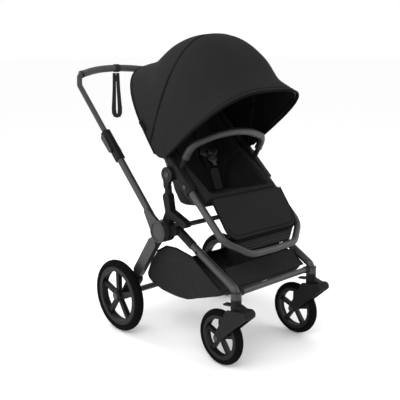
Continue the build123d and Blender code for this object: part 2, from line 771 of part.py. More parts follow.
def bow_strip(name, angle, reach, power, inner_x, thick, width):
    """Flat spring-steel bow with an eye at each end, under the cloth."""
    with BuildPart() as bow:
        outer = canopy_edge(angle, inner_x + thick, reach, power, canopy_axis, low=6)
        inner = canopy_edge(angle, inner_x, reach - thick, power, canopy_axis, low=6)
        normal = (0, -sin(radians(angle)), cos(radians(angle)))
        plane = Plane(origin=(0, *canopy_axis), x_dir=(1, 0, 0), z_dir=normal)
        with BuildSketch(plane):
            with BuildLine():
                top = Spline(*[plane.to_local_coords(Vector(*p)) for p in outer])
                low_edge = Spline(*[plane.to_local_coords(Vector(*p)) for p in inner])
                Line(top @ 0, low_edge @ 0)
                Line(top @ 1, low_edge @ 1)
            make_face()
        extrude(amount=width / 2, both=True)
        for s in (1, -1):
            with BuildSketch(Plane.YZ.offset(s * inner_x)):
                with Locations(canopy_axis):
                    Circle(9)
            extrude(amount=s * thick)
            with BuildSketch(Plane.YZ.offset(s * (inner_x - 2))):
                with Locations(canopy_axis):
                    Circle(canopy_pin_r + fit)
            extrude(amount=s * (thick + 4), mode=Mode.SUBTRACT)
    save(bow, name)


bow_strip("canopy_bow", bow_angle, 439, 2.7, 220.8, 1.6, 12)
bow_strip("visor_rim", visor_angle - 1.5, 413, 3.3, 222.8, 1.6, 8)
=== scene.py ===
import math

import bmesh
import bpy
from bpy.props import FloatProperty, FloatVectorProperty, PointerProperty
from mathutils import Matrix, Vector, noise


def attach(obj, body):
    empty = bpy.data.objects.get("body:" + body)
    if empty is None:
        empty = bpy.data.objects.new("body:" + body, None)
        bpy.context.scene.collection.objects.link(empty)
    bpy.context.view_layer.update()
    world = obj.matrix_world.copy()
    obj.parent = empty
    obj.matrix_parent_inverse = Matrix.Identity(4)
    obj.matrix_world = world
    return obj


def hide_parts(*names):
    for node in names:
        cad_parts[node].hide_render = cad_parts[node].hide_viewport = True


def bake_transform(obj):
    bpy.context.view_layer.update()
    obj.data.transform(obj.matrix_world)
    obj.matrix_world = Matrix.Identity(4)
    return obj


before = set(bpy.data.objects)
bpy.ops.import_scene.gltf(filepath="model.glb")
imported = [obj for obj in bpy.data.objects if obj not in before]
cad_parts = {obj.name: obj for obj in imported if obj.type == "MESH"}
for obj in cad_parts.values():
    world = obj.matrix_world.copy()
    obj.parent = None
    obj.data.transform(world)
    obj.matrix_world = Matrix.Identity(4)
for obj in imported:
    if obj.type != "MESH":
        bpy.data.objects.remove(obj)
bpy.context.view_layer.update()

bl_info = {
    "name": "Folding stroller",
    "version": (1, 0, 0),
    "blender": (4, 5, 0),
    "location": "3D View > Sidebar > Stroller",
    "description": "Cloth, padding, trim and finishes of a folding stroller",
    "category": "Object",
}

# Sides in the part's frame: left is +X, and the front faces -Y
SIDES = (("left", 1), ("right", -1))
CLOTH = 0.0016

# Canopy arches: angle about the canopy axis, half width, reach, squareness, base point
CANOPY_AXIS = (-0.096, 0.720)
ARCHES = (
    (47.0, 0.2275, 0.440, 2.70, (-0.070, 0.722)),
    (62.0, 0.2270, 0.403, 2.65, (-0.084, 0.720)),
    (78.0, 0.2270, 0.430, 2.60, CANOPY_AXIS),
    (90.0, 0.2270, 0.443, 2.65, CANOPY_AXIS),
    (100.0, 0.2275, 0.446, 2.70, CANOPY_AXIS),
    (115.0, 0.2275, 0.424, 2.85, CANOPY_AXIS),
    (130.0, 0.2275, 0.392, 3.00, CANOPY_AXIS),
    (143.7, 0.2275, 0.420, 3.30, CANOPY_AXIS),
)
REAR_ANGLE = 47.0
BOW_ANGLE = 100.0
BRIM_ANGLE = 143.7
ARCH_LOW = 0.010
FOOT_CENTRE = (-0.076, 0.741)   # the sheet's rounded lower corner runs about this point
FOOT_RADIUS = 0.034
SEAM_FOOT = (-0.027, 0.795)     # the seam's plane, seen from the side
SEAM_BACK = (0.953, 0.302)

HUB = (-0.100, 0.446)
REAR_AXLE = (0.114, 0.145)
FRONT_AXLE = (-0.382, 0.103)
STEM = (0.2075, -0.4535)
BARREL = (-0.505, 0.221)
RECLINE = (-0.118, 0.660)
LOOP_ANGLE = math.radians(42.7)
LOOP_ORIGIN = (-0.333, 0.502)
STRAP_ACROSS = (0.735, -0.678, 0)   # the wrist strap hangs turned to a diagonal
STRAP_FACE = (-0.678, -0.735, 0)


def settings():
    return bpy.context.scene.stroller


# ---------------------------------------------------------------- making


def clear_selection():
    bpy.ops.object.select_all(action="DESELECT")


def take(obj):
    clear_selection()
    obj.select_set(True)
    bpy.context.view_layer.objects.active = obj
    return obj


def named(name):
    obj = bpy.context.active_object
    obj.name = name
    obj.data.name = name
    return obj


def settle(obj):
    """Puts the piece's place into its mesh."""
    take(obj)
    bpy.ops.object.transform_apply(location=True, rotation=True, scale=True)
    return obj


def apply_modifiers(obj):
    take(obj)
    for modifier in list(obj.modifiers):
        bpy.ops.object.modifier_apply(modifier=modifier.name)
    return obj


def outward(obj):
    """Merges doubles and turns every face outwards."""
    take(obj)
    bpy.ops.object.mode_set(mode="EDIT")
    bpy.ops.mesh.select_all(action="SELECT")
    bpy.ops.mesh.remove_doubles(threshold=1e-5)
    bpy.ops.mesh.normals_make_consistent(inside=False)
    bpy.ops.object.mode_set(mode="OBJECT")
    return obj


def dress(obj, body, finish, angle=40):
    """Smooths the piece, gives it its finish and lets it ride on its body."""
    take(obj)
    bpy.ops.object.shade_smooth_by_angle(angle=math.radians(angle))
    obj.data.materials.clear()
    obj.data.materials.append(bpy.data.materials[finish])
    if body:
        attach(obj, body)
    return obj


def aim(axis):
    """The rotation that turns +Z to the axis."""
    return Vector(axis).to_track_quat("Z", "Y").to_matrix().to_4x4()


def turned(name, rings, centre, axis, sides=48, closed=False):
    """A turned piece: rings of (radius, height) along the axis, from a circle extruded and scaled."""
    clear_selection()
    bpy.ops.mesh.primitive_circle_add(vertices=sides, radius=rings[0][0], location=(0, 0, rings[0][1]))
    obj = named(name)
    take(obj)
    bpy.ops.object.transform_apply(location=True, rotation=True, scale=True)
    bpy.ops.object.mode_set(mode="EDIT")
    bpy.ops.mesh.select_mode(type="VERT")
    bpy.ops.mesh.select_all(action="SELECT")
    if not closed:
        bpy.ops.mesh.edge_face_add()
    for (r0, h0), (r1, h1) in zip(rings, rings[1:]):
        bpy.ops.mesh.extrude_region_move(TRANSFORM_OT_translate={"value": (0, 0, h1 - h0)})
        bpy.ops.transform.resize(value=(r1 / r0, r1 / r0, 1), center_override=(0, 0, h1))
    bpy.ops.object.mode_set(mode="OBJECT")
    obj.matrix_world = Matrix.Translation(Vector(centre)) @ aim(axis)
    settle(obj)
    return outward(obj)


def ring_band(name, radius, tube, centre, axis, sides=48):
    """A round bead about an axis, spun from its section."""
    rings = [(radius + tube * math.cos(a), tube * math.sin(a))
             for a in [i * math.pi / 4 for i in range(9)]]
    return turned(name, rings, centre, axis, sides, closed=True)


def pressed(name, outline, plane, depth, bevel=0.0012, segments=2):
    """A flat piece: its outline extruded along the plane's normal, with softened edges."""
    clear_selection()
    bpy.ops.mesh.primitive_circle_add(vertices=len(outline), radius=1.0)
    obj = named(name)
    for vertex, point in zip(obj.data.vertices, outline):
        vertex.co = (point[0], point[1], 0)
    take(obj)
    bpy.ops.object.mode_set(mode="EDIT")
    bpy.ops.mesh.select_mode(type="VERT")
    bpy.ops.mesh.select_all(action="SELECT")
    bpy.ops.mesh.edge_face_add()
    bpy.ops.mesh.extrude_region_move(TRANSFORM_OT_translate={"value": (0, 0, depth)})
    bpy.ops.object.mode_set(mode="OBJECT")
    outward(obj)
    if bevel:
        soft = obj.modifiers.new("edges", "BEVEL")
        soft.width = bevel
        soft.segments = segments
        soft.angle_limit = math.radians(35)
        apply_modifiers(obj)
    obj.matrix_world = plane
    return settle(obj)


def rounded(width, height, radius, steps=6):
    """A rounded rectangle's outline."""
    points = []
    for cx, cy, start in ((1, 1, 0), (-1, 1, 90), (-1, -1, 180), (1, -1, 270)):
        for i in range(steps + 1):
            a = math.radians(start + 90 * i / steps)
            points.append((cx * (width / 2 - radius) + radius * math.cos(a),
                           cy * (height / 2 - radius) + radius * math.sin(a)))
    return points


def plane_at(origin, x_axis, normal):
    """Where a flat piece lies: its own X and its normal."""
    z = Vector(normal).normalized()
    x = Vector(x_axis).normalized()
    y = z.cross(x).normalized()
    x = y.cross(z)
    turn = Matrix((x, y, z)).transposed().to_4x4()
    return Matrix.Translation(Vector(origin)) @ turn


def cord_line(name, points, radius, closed=False, resolution=4):
    """Piping: a round line through the points, as a mesh."""
    curve = bpy.data.curves.new(name, "CURVE")
    curve.dimensions = "3D"
    curve.bevel_depth = radius
    curve.bevel_resolution = resolution
    curve.use_fill_caps = True
    line = curve.splines.new("POLY")
    line.points.add(len(points) - 1)
    for target, point in zip(line.points, points):
        target.co = (*point, 1)
    line.use_cyclic_u = closed
    obj = bpy.data.objects.new(name, curve)
    bpy.context.scene.collection.objects.link(obj)
    take(obj)
    bpy.ops.object.convert(target="MESH")
    return outward(bpy.context.active_object)


def webbing(name, points, across, width, thick):
    """A strap: an edge extruded from point to point, given its thickness and soft edges."""
    clear_selection()
    bpy.ops.mesh.primitive_plane_add(size=1)
    obj = named(name)
    a = Vector(across).normalized() * width / 2
    first, second = Vector(points[0]), Vector(points[1])
    for vertex, place in zip(obj.data.vertices, (first - a, first + a, second - a, second + a)):
        vertex.co = place
    take(obj)
    bpy.ops.object.mode_set(mode="EDIT")
    bpy.ops.mesh.select_mode(type="EDGE")
    bpy.ops.mesh.select_all(action="DESELECT")
    bpy.ops.object.mode_set(mode="OBJECT")
    for edge in obj.data.edges:
        ends = {edge.vertices[0], edge.vertices[1]}
        edge.select = ends == {2, 3}
    bpy.ops.object.mode_set(mode="EDIT")
    for p, q in zip(points[1:], points[2:]):
        step = Vector(q) - Vector(p)
        bpy.ops.mesh.extrude_region_move(TRANSFORM_OT_translate={"value": step})
    bpy.ops.object.mode_set(mode="OBJECT")
    outward(obj)
    wall = obj.modifiers.new("wall", "SOLIDIFY")
    wall.thickness = thick
    wall.offset = 0
    soft = obj.modifiers.new("edges", "BEVEL")
    soft.width = thick * 0.3
    soft.segments = 2
    apply_modifiers(obj)
    return obj


def joined(name, parts):
    """Several meshes as one piece."""
    clear_selection()
    for part in parts:
        part.select_set(True)
    bpy.context.view_layer.objects.active = parts[0]
    if len(parts) > 1:
        bpy.ops.object.join()
    return named(name)


def grid(name, across, along, place):
    """A cloth grid whose corners are set by place(u, v), with u across and v along, each 0 to 1."""
    clear_selection()
    bpy.ops.mesh.primitive_grid_add(x_subdivisions=across, y_subdivisions=along, size=1)
    obj = named(name)
    for vertex in obj.data.vertices:
        vertex.co = place(vertex.co.x + 0.5, vertex.co.y + 0.5)
    return outward(obj)


def thicken(obj, thickness, offset=0.0, smooth=0):
    wall = obj.modifiers.new("wall", "SOLIDIFY")
    wall.thickness = thickness
    wall.offset = offset
    wall.use_even_offset = True
    if smooth:
        round_off = obj.modifiers.new("smooth", "SUBSURF")
        round_off.levels = smooth
        round_off.render_levels = smooth
    return apply_modifiers(obj)


def area_of(obj):
    mesh = bmesh.new()
    mesh.from_mesh(obj.data)
    total = sum(face.calc_area() for face in mesh.faces)
    mesh.free()
    return total


def ripple(point, scale, seed):
    """A smooth repeatable wander from -1 to 1."""
    return noise.noise(Vector(point) * scale + Vector((seed * 7.3, seed * 3.1, seed * 5.7)))


def swell(obj, voxel, pressure, cap, pinned, shrink=0.0, frames=20):
    """Remeshes a pad and fills it by cloth simulation, held along its seams."""
    take(obj)
    remesh = obj.modifiers.new("remesh", "REMESH")
    remesh.mode = "VOXEL"
    remesh.voxel_size = voxel
    apply_modifiers(obj)
    relax = obj.modifiers.new("relax", "SMOOTH")
    relax.factor = 0.5
    relax.iterations = 4
    apply_modifiers(obj)
    if shrink:
        for vertex in obj.data.vertices:
            vertex.co = vertex.co - vertex.normal * shrink
    rest = [vertex.co.copy() for vertex in obj.data.vertices]
    held = obj.vertex_groups.new(name="seams")
    for vertex in obj.data.vertices:
        weight = pinned(vertex.co)
        if weight > 0:
            held.add([vertex.index], weight, "REPLACE")
    cloth = obj.modifiers.new("cloth", "CLOTH")
    cloth.settings.quality = 4
    cloth.settings.mass = 0.3
    cloth.settings.tension_stiffness = 15
    cloth.settings.compression_stiffness = 15
    cloth.settings.use_pressure = True
    cloth.settings.uniform_pressure_force = pressure
    cloth.settings.effector_weights.gravity = 0
    cloth.settings.vertex_group_mass = "seams"
    cloth.point_cache.frame_start = 1
    cloth.point_cache.frame_end = frames
    scene = bpy.context.scene
    for number in range(1, frames + 1):
        scene.frame_set(number)
    evaluated = obj.evaluated_get(bpy.context.evaluated_depsgraph_get())
    filled = [vertex.co.copy() for vertex in evaluated.data.vertices]
    obj.modifiers.remove(cloth)
    scene.frame_set(1)
    for vertex, old, new in zip(obj.data.vertices, rest, filled):
        move = new - old
        if move.length > cap:
            move = move * (cap / move.length)
        vertex.co = old + move
    obj.vertex_groups.clear()
    return obj


def copy_of(node, name):
    """A merged copy of a CAD node's mesh, free to be shaped."""
    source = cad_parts[node]
    obj = bpy.data.objects.new(name, source.data.copy())
    obj.data.materials.clear()
    bpy.context.scene.collection.objects.link(obj)
    return outward(obj)


# ---------------------------------------------------------------- finishes


def group(name, inputs, outputs, fill):
    """A shader node group with named sockets."""
    tree = bpy.data.node_groups.new(name, "ShaderNodeTree")
    for label, kind, value in inputs:
        socket = tree.interface.new_socket(name=label, in_out="INPUT", socket_type=kind)
        if value is not None:
            socket.default_value = value
    for label, kind in outputs:
        tree.interface.new_socket(name=label, in_out="OUTPUT", socket_type=kind)
    fill(tree, tree.nodes.new("NodeGroupInput"), tree.nodes.new("NodeGroupOutput"))
    return tree


def maths(tree, operation, a, b=None, c=None):
    node = tree.nodes.new("ShaderNodeMath")
    node.operation = operation
    for index, value in enumerate((a, b, c)):
        if value is None:
            continue
        if isinstance(value, (int, float)):
            node.inputs[index].default_value = value
        else:
            tree.links.new(value, node.inputs[index])
    return node.outputs[0]


def noise_node(tree, vector, scale, detail=2.0, rough=0.5):
    node = tree.nodes.new("ShaderNodeTexNoise")
    if isinstance(scale, (int, float)):
        node.inputs["Scale"].default_value = scale
    else:
        tree.links.new(scale, node.inputs["Scale"])
    node.inputs["Detail"].default_value = detail
    node.inputs["Roughness"].default_value = rough
    tree.links.new(vector, node.inputs["Vector"])
    return node.outputs["Fac"]


def mix_colour(tree, factor, a, b):
    node = tree.nodes.new("ShaderNodeMix")
    node.data_type = "RGBA"
    for socket, value in ((node.inputs[0], factor), (node.inputs[6], a), (node.inputs[7], b)):
        if isinstance(value, (int, float, tuple)):
            socket.default_value = value
        else:
            tree.links.new(value, socket)
    return node.outputs[2]


def ramp(tree, value, low, high):
    """Clamps a value to 0..1 between low and high."""
    node = tree.nodes.new("ShaderNodeMapRange")
    node.interpolation_type = "SMOOTHSTEP"
    node.inputs["From Min"].default_value = low
    node.inputs["From Max"].default_value = high
    tree.links.new(value, node.inputs["Value"])
    return node.outputs["Result"]


def fill_weave(tree, given, result):
    """Plain weave: threads that pass over and under along each pair of axes."""
    split = tree.nodes.new("ShaderNodeSeparateXYZ")
    tree.links.new(given.outputs["Vector"], split.inputs[0])
    waves = []
    for axis in range(3):
        turn = maths(tree, "MULTIPLY", split.outputs[axis], given.outputs["Threads"])
        waves.append(maths(tree, "SINE", turn))
    total = None
    for i, j in ((0, 1), (1, 2), (2, 0)):
        product = maths(tree, "MULTIPLY", waves[i], waves[j])
        total = product if total is None else maths(tree, "ADD", total, product)
    height = maths(tree, "MULTIPLY_ADD", total, 0.25, 0.5)
    slub = noise_node(tree, given.outputs["Vector"], 420.0, 3.0)
    height = maths(tree, "MULTIPLY_ADD", slub, 0.35, height)
    tree.links.new(height, result.inputs["Height"])
    patch = noise_node(tree, given.outputs["Vector"], 14.0, 3.0)
    tree.links.new(ramp(tree, patch, 0.3, 0.72), result.inputs["Fade"])


def fill_grain(tree, given, result):
    """Fine spark-eroded grain of a moulding, with a patchy sheen."""
    fine = noise_node(tree, given.outputs["Vector"], given.outputs["Scale"], 4.0, 0.6)
    tree.links.new(fine, result.inputs["Height"])
    patch = noise_node(tree, given.outputs["Vector"], 26.0, 3.0)
    tree.links.new(ramp(tree, patch, 0.35, 0.7), result.inputs["Patch"])


def fill_hide(tree, given, result):
    """Leather cells with creases between them."""
    cells = tree.nodes.new("ShaderNodeTexVoronoi")
    cells.feature = "DISTANCE_TO_EDGE"
    tree.links.new(given.outputs["Vector"], cells.inputs["Vector"])
    tree.links.new(given.outputs["Scale"], cells.inputs["Scale"])
    tree.links.new(ramp(tree, cells.outputs["Distance"], 0.0, 0.25), result.inputs["Height"])
    patch = noise_node(tree, given.outputs["Vector"], 30.0, 2.0)
    tree.links.new(ramp(tree, patch, 0.3, 0.7), result.inputs["Patch"])


def fill_dust(tree, given, result):
    """Dust that lies low on the stroller and thins out upwards."""
    split = tree.nodes.new("ShaderNodeSeparateXYZ")
    tree.links.new(given.outputs["Vector"], split.inputs[0])
    low = maths(tree, "MULTIPLY_ADD", split.outputs[2], -1.6, 1.0)
    cloud = noise_node(tree, given.outputs["Vector"], 60.0, 5.0, 0.65)
    mask = maths(tree, "MULTIPLY", ramp(tree, cloud, 0.45, 0.75), low)
    tree.links.new(maths(tree, "MULTIPLY", mask, given.outputs["Amount"]), result.inputs["Mask"])


def tint(colour, factor):
    return (*[min(1.0, c * factor) for c in colour[:3]], 1.0)


def finish(name, colour, rough, kind, scale, bump, distance=0.0004, metal=0.0, coat=0.0, sheen=0.0, dust=0.0,
           spread=0.16, gloss=0.5):
    """One surface finish: colour that wanders, roughness that follows it, and its own grain."""
    made = bpy.data.materials.new(name)
    made.use_nodes = True
    tree = made.node_tree
    shader = tree.nodes["Principled BSDF"]
    where = tree.nodes.new("ShaderNodeTexCoord").outputs["Object"]
    pattern = tree.nodes.new("ShaderNodeGroup")
    pattern.node_tree = bpy.data.node_groups[kind]
    tree.links.new(where, pattern.inputs["Vector"])
    pattern.inputs[1].default_value = scale
    tone = pattern.outputs[1]
    base = mix_colour(tree, tone, tint(colour, 1 - spread), tint(colour, 1 + spread))
    if kind == "plain_weave":
        threads = ramp(tree, pattern.outputs["Height"], 0.3, 1.0)
        base = mix_colour(tree, threads, base, tint(colour, 1.5))
    if dust:
        settled = tree.nodes.new("ShaderNodeGroup")
        settled.node_tree = bpy.data.node_groups["road_dust"]
        tree.links.new(where, settled.inputs["Vector"])
        settled.inputs["Amount"].default_value = dust
        base = mix_colour(tree, settled.outputs["Mask"], base, (0.16, 0.15, 0.14, 1.0))
    tree.links.new(base, shader.inputs["Base Color"])
    low, high = max(0.05, rough - 0.06), min(1.0, rough + 0.07)
    tree.links.new(maths(tree, "MULTIPLY_ADD", tone, high - low, low), shader.inputs["Roughness"])
    lift = tree.nodes.new("ShaderNodeBump")
    lift.inputs["Strength"].default_value = bump
    lift.inputs["Distance"].default_value = distance
    tree.links.new(pattern.outputs["Height"], lift.inputs["Height"])
    tree.links.new(lift.outputs["Normal"], shader.inputs["Normal"])
    shader.inputs["Metallic"].default_value = metal
    shader.inputs["Specular IOR Level"].default_value = gloss
    shader.inputs["Coat Weight"].default_value = coat
    shader.inputs["Coat Roughness"].default_value = 0.3
    shader.inputs["Sheen Weight"].default_value = sheen
    shader.inputs["Sheen Roughness"].default_value = 0.5
    return made


def paint(finish_name, *nodes):
    """Gives carried-over CAD nodes their finish."""
    for node in nodes:
        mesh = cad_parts[node].data
        mesh.materials.clear()
        mesh.materials.append(bpy.data.materials[finish_name])


class StrollerFinishes(bpy.types.Operator):
    """Makes the finishes and gives them to the frame, the wheels and the mouldings"""

    bl_idname = "stroller.finishes"
    bl_label = "Finishes"

    def execute(self, context):
        s = settings()
        vector = ("Vector", "NodeSocketVector", None)
        group("plain_weave", [vector, ("Threads", "NodeSocketFloat", 4000.0)],
              [("Height", "NodeSocketFloat"), ("Fade", "NodeSocketFloat")], fill_weave)
        group("moulded_grain", [vector, ("Scale", "NodeSocketFloat", 900.0)],
              [("Height", "NodeSocketFloat"), ("Patch", "NodeSocketFloat")], fill_grain)
        group("leather_hide", [vector, ("Scale", "NodeSocketFloat", 500.0)],
              [("Height", "NodeSocketFloat"), ("Patch", "NodeSocketFloat")], fill_hide)
        group("road_dust", [vector, ("Amount", "NodeSocketFloat", 0.3)],
              [("Mask", "NodeSocketFloat")], fill_dust)
        cloth, tube, plastic = tuple(s.cloth_colour), tuple(s.tube_colour), tuple(s.plastic_colour)
        finish("canopy cloth", cloth, 0.9, "plain_weave", 3400, 0.35, 0.0003, gloss=0.08)
        finish("canopy lining", tint(cloth, 0.4), 0.9, "plain_weave", 3400, 0.3, 0.0003, gloss=0.06)
        finish("basket cloth", tint(cloth, 0.95), 0.88, "plain_weave", 2600, 0.4, 0.0004, gloss=0.12,
               dust=0.06)
        finish("seat cloth", tint(cloth, 0.75), 0.88, "plain_weave", 3000, 0.4, 0.0004, gloss=0.12)
        # The binding finish is also laid on the canopy seam, where its darkness is painted shade along the
        # crease.
        finish("binding and painted seam shade", tint(cloth, 0.3), 0.85, "plain_weave", 2200, 0.4, 0.0004, gloss=0.05)
        finish("strap webbing", tint(cloth, 0.8), 0.75, "plain_weave", 1900, 0.6, 0.0005, gloss=0.15)
        finish("stitching", tint(cloth, 1.6), 0.7, "plain_weave", 5000, 0.5, 0.0003, gloss=0.2)
        finish("anodised tube", tube, 0.36, "moulded_grain", 1500, 0.12, 0.0002, metal=0.55, spread=0.06)
        finish("frame moulding", plastic, 0.5, "moulded_grain", 1100, 0.3, 0.0003, spread=0.08, gloss=0.12)
        finish("satin moulding", tint(plastic, 1.15), 0.38, "moulded_grain", 1500, 0.15, 0.0002, spread=0.06)
        finish("wheel moulding", tint(plastic, 0.95), 0.42, "moulded_grain", 900, 0.25, 0.0003, dust=0.02,
               gloss=0.14)
        finish("foam tyre", tint(plastic, 0.55), 0.92, "moulded_grain", 520, 0.6, 0.0006, dust=0.01,
               gloss=0.03, spread=0.12)
        finish("stitched hide", tint(plastic, 0.9), 0.48, "leather_hide", 620, 0.5, 0.0004, coat=0.12,
               spread=0.1)
        finish("bright steel", (0.42, 0.42, 0.43), 0.3, "moulded_grain", 1800, 0.1, 0.0001, metal=1.0)
        finish("spring steel", (0.05, 0.05, 0.052), 0.4, "moulded_grain", 1500, 0.1, 0.0001, metal=0.8)

        both = lambda *names: [f"{n}_{side}" for n in names for side, _ in SIDES]
        paint("anodised tube", *both("front_leg", "rear_leg", "push_tube"), "hub_crossbar", "front_crossbar",
              "rear_axle_beam", "handle_bow", "seat_loop")
        paint("frame moulding", *both("hub_casting", "height_block", "caster_body", "caster_fork",
                                      "swivel_lock"),
              "seat_posts", "seat_pivots", "frame_housings", "wheel_mounts", "brake_pedal", "recline_handle",
              "foot_plate")
        paint("satin moulding", *both("fold_slider", "height_lever", "frame_button", "wheel_release"),
              "hub_covers",
              "harness_buckle", "buckle_button")
        paint("wheel moulding", "rear_left_rim", "rear_right_rim", "front_left_rim", "front_right_rim")
        paint("foam tyre", "rear_left_tyre", "rear_right_tyre", "front_left_tyre", "front_right_tyre")
        paint("stitched hide", "grip", "bumper_bar")
        paint("bright steel", "hub_pins")
        paint("spring steel", "canopy_bow", "visor_rim")
        return {"FINISHED"}


# ---------------------------------------------------------------- canopy


def arch_at(angle):
    """The canopy's arch at any angle, eased between the known ones."""
    rows = ARCHES
    last = len(rows) - 1
    i = max(0, min(last - 1, sum(1 for row in rows if row[0] <= angle) - 1))
    a, b = rows[i], rows[i + 1]
    before, after = rows[max(i - 1, 0)], rows[min(i + 2, last)]
    t = (angle - a[0]) / (b[0] - a[0])

    def eased(k, pick=lambda row, k: row[k]):
        p0, p1, p2, p3 = (pick(row, k) for row in (before, a, b, after))
        m1 = (p2 - p0) / max(b[0] - before[0], 1e-6) * (b[0] - a[0])
        m2 = (p3 - p1) / max(after[0] - a[0], 1e-6) * (b[0] - a[0])
        t2, t3 = t * t, t * t * t
        return (2 * t3 - 3 * t2 + 1) * p1 + (t3 - 2 * t2 + t) * m1 + (-2 * t3 + 3 * t2) * p2 + (t3 - t2) * m2

    base = [eased(k, lambda row, k: row[4][k]) for k in (0, 1)]
    return eased(1), eased(2), eased(3), base


def arch_point(angle, along, inset=0.0):
    """A point of the canopy: along goes 0 to 1 from the left foot over the top to the right foot."""
    half, reach, power, base = arch_at(angle)
    t = math.pi * along
    across = math.copysign(abs(math.cos(t)) ** (2 / power), math.cos(t))
    up = abs(math.sin(t)) ** (2 / power)
    round_way = math.radians(325 - 95 * (angle - REAR_ANGLE) / (BRIM_ANGLE - REAR_ANGLE))
    foot = (FOOT_CENTRE[0] + FOOT_RADIUS * math.cos(round_way),
            FOOT_CENTRE[1] + FOOT_RADIUS * math.sin(round_way))
    ease = (1 - up) ** 2
    base = [b + (f - b) * ease for b, f in zip(base, foot)]
    x = (half - inset) * across
    r = ARCH_LOW + (reach - inset - ARCH_LOW) * up
    a = math.radians(angle)
    return Vector((x, base[0] + r * math.cos(a), base[1] + r * math.sin(a)))


def evened(count, angle, inset=0.0):
    """Values of along that space the arch's points evenly."""
    fine = [arch_point(angle, i / 400, inset) for i in range(401)]
    lengths = [0.0]
    for p, q in zip(fine, fine[1:]):
        lengths.append(lengths[-1] + (q - p).length)
    values, j = [], 0
    for i in range(count + 1):
        target = lengths[-1] * i / count
        while j < 399 and lengths[j + 1] < target:
            j += 1
        step = max(lengths[j + 1] - lengths[j], 1e-9)
        values.append((j + (target - lengths[j]) / step) / 400)
    return values


def seam_line(out=0.0, back=0.0, count=110):
    """The visible seam: where its plane meets the canopy, from the rear edge low down to the top and over."""
    points = []
    for a in evened(count, 92.0):
        low, high = REAR_ANGLE, BRIM_ANGLE

        def behind(angle):
            p = arch_point(angle, a, -out)
            return (p.y - SEAM_FOOT[0]) * SEAM_BACK[0] + (p.z - SEAM_FOOT[1]) * SEAM_BACK[1] - back

        if behind(low) <= 0:
            continue
        for _ in range(30):
            middle = (low + high) / 2
            if behind(middle) > 0:
                low = middle
            else:
                high = middle
        points.append(arch_point(low, a, -out))
    return points


def canopy_panel(name, start, end, across, along, seed):
    """One sheet between two angles, drawn in a little between its seams, with shallow tension folds."""
    spacing = {}

    def place(u, v):
        angle = start + (end - start) * v
        key = round(v * along)
        if key not in spacing:
            spacing[key] = evened(across, angle)
        row = spacing[key]
        index = u * across
        i = min(int(index), across - 1)
        a = row[i] + (row[i + 1] - row[i]) * (index - i)
        point = arch_point(angle, a)
        span = 4 * v * (1 - v)
        fold = ripple((u * 9, v * 2.2, 0), 1.0, seed) * 0.0022 + ripple((u * 26, v * 1.3, 0), 1.0,
                                                                        seed + 3) * 0.0009
        centre = Vector((0, CANOPY_AXIS[0], CANOPY_AXIS[1]))
        out = (point - centre)
        out.x *= 1.6
        return point + out.normalized() * (span * (fold - 0.0012))

    return grid(name, across, along, place)


def arch_line(angle, out=0.0, count=90, low=0.0):
    """Points along the arch at one angle, stood off the cloth by out."""
    points = [arch_point(angle, a, -out) for a in evened(count, angle)]
    return [p for p in points if (Vector((0, *CANOPY_AXIS)) - Vector((0, p.y, p.z))).length > low]


class StrollerCanopy(bpy.types.Operator):
    """Makes the canopy's sheets with their seam, brim and edges"""

    bl_idname = "stroller.canopy"
    bl_label = "Canopy"

    def execute(self, context):
        axis = Vector((0, *CANOPY_AXIS))
        panels = (("canopy_back_cloth", REAR_ANGLE, BOW_ANGLE, 96, 40, 2, ("seat", "canopy_mid")),
                  ("canopy_front_cloth", BOW_ANGLE, BRIM_ANGLE, 96, 34, 5, ("canopy_mid", "canopy_visor")))
        for name, start, end, across, along, seed, bodies in panels:
            sheet = canopy_panel(name, start, end, across, along, seed)
            flat = area_of(sheet)
            arch = sum((q - p).length for p, q in zip(arch_line(end), arch_line(end)[1:]))
            thicken(sheet, CLOTH, 0.0)
            dress(sheet, None, "canopy cloth", 60)
            sheet.data.materials.append(bpy.data.materials["canopy lining"])
            for face in sheet.data.polygons:
                outwards = face.center - axis
                if face.normal.dot(Vector((outwards.x * 2.1, outwards.y * 1.7, outwards.z * 1.7))) < 0:
                    face.material_index = 1
            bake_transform(sheet)
        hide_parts("canopy_rear", "canopy_middle")
        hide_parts("canopy_front")

        # The seam is of the canopy cloth, but its ridge and stitch line get the dark binding finish: painted
        # shade along the seam's crease.
        seam = joined("canopy_seam", [cord_line("seam_ridge", seam_line(0.0002), 0.0019),
                                      cord_line("seam_stitch", seam_line(0.0006, 0.006), 0.0007)])
        dress(seam, None, "binding and painted seam shade")
        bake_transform(seam)
        brim = [cord_line("brim_roll", arch_line(BRIM_ANGLE, 0.0006, 120, 0.02), 0.0042),
                cord_line("brim_stitch", arch_line(BRIM_ANGLE - 2.4, 0.0008, 120, 0.05), 0.0008)]
        dress(joined("canopy_brim", brim), "canopy_visor", "binding and painted seam shade")
        edge = [cord_line("edge_roll", arch_line(REAR_ANGLE, 0.0004, 120, 0.02), 0.0030),
                cord_line("edge_stitch", arch_line(REAR_ANGLE + 1.6, 0.0008, 120, 0.05), 0.0008)]
        dress(joined("canopy_rear_edge", edge), "seat", "binding and painted seam shade")
        def skirt_place(u, v):
            """From the rear edge (v = 0) over the seat loop to the bucket (v = 1), left to right."""
            edge = arch_point(REAR_ANGLE, skirt_rows[min(int(round(u * 96)), 96)])
            top, tucked = loop_outline(u, 0.012, 0.0), loop_outline(u, -0.014, 0.030)
            return edge.lerp(top, v * 1.5) if v < 0.667 else top.lerp(tucked, (v - 0.667) * 3)

        skirt_rows = evened(96, REAR_ANGLE)
        skirt = grid("canopy_skirt", 96, 9, skirt_place)
        size = area_of(skirt)
        thicken(skirt, CLOTH, 0.0)
        dress(skirt, "seat", "canopy lining", 70)
        tag = pressed("side_tag", rounded(0.048, 0.018, 0.002),
                      plane_at((-0.2290, 0.026, 0.8268), (0, 0.70, 0.71), (-1, 0, 0)),
                      0.0012, 0.0004)
        dress(tag, "seat", "binding and painted seam shade")
        return {"FINISHED"}


# ---------------------------------------------------------------- seat


